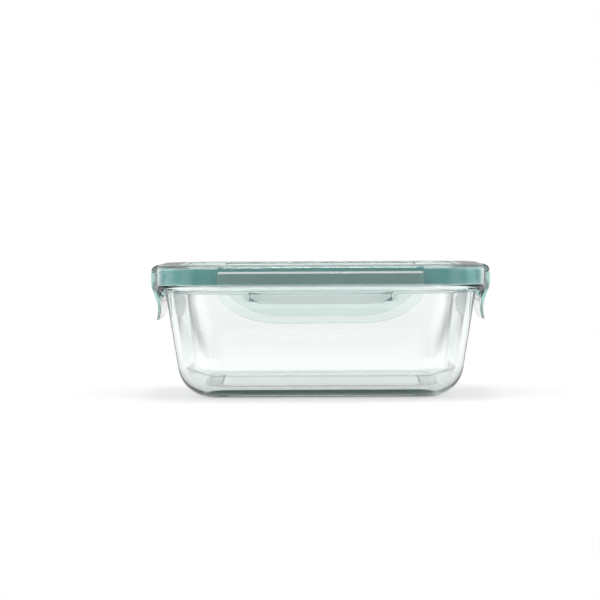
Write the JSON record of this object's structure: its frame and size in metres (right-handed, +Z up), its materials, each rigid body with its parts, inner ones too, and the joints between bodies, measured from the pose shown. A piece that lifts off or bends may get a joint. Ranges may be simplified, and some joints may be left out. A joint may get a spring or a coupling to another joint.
{
  "type": "glass storage container",
  "caption": "Rectangular glass food container with a clear clip-down lid, a silicone gasket and hinged latch wings on every side.",
  "frame": {"origin": "centre of the base, on the surface the container stands on", "axes": "+X right along the long side, +Y back, +Z up; the front wing faces -Y"},
  "size_m": [0.2032, 0.15, 0.08],
  "materials": {
    "clear_glass": "polished, clear with a faint green edge",
    "lid_plastic": "glossy translucent, pale teal",
    "seal_silicone": "satin silicone, teal"
  },
  "bodies": {
    "container": {"glass_container": "clear_glass"},
    "lid": {"lid": "lid_plastic", "gasket": "seal_silicone", "front_hinge_web": "lid_plastic", "back_hinge_web": "lid_plastic", "right_hinge_web": "lid_plastic", "left_hinge_web": "lid_plastic"},
    "front_wing": {"front_wing": "lid_plastic"},
    "back_wing": {"back_wing": "lid_plastic"},
    "right_wing": {"right_wing": "lid_plastic"},
    "left_wing": {"left_wing": "lid_plastic"}
  },
  "joints": [
    {"name": "lid_lift", "type": "slide", "parent": "container", "child": "lid", "axis": [0, 0, 1], "range_m": [0, 0.14]},
    {"name": "front_wing_hinge", "type": "hinge", "parent": "lid", "child": "front_wing", "pos_m": [0, -0.07455, 0.0756], "axis": [-1, 0, 0], "range_deg": [0, 110], "deforming": ["front_hinge_web"]},
    {"name": "back_wing_hinge", "type": "hinge", "parent": "lid", "child": "back_wing", "pos_m": [0, 0.07455, 0.0756], "axis": [1, 0, 0], "range_deg": [0, 110], "deforming": ["back_hinge_web"]},
    {"name": "right_wing_hinge", "type": "hinge", "parent": "lid", "child": "right_wing", "pos_m": [0.10115, 0, 0.0756], "axis": [0, -1, 0], "range_deg": [0, 110], "deforming": ["right_hinge_web"]},
    {"name": "left_wing_hinge", "type": "hinge", "parent": "lid", "child": "left_wing", "pos_m": [-0.10115, 0, 0.0756], "axis": [0, 1, 0], "range_deg": [0, 110], "deforming": ["left_hinge_web"]}
  ]
}
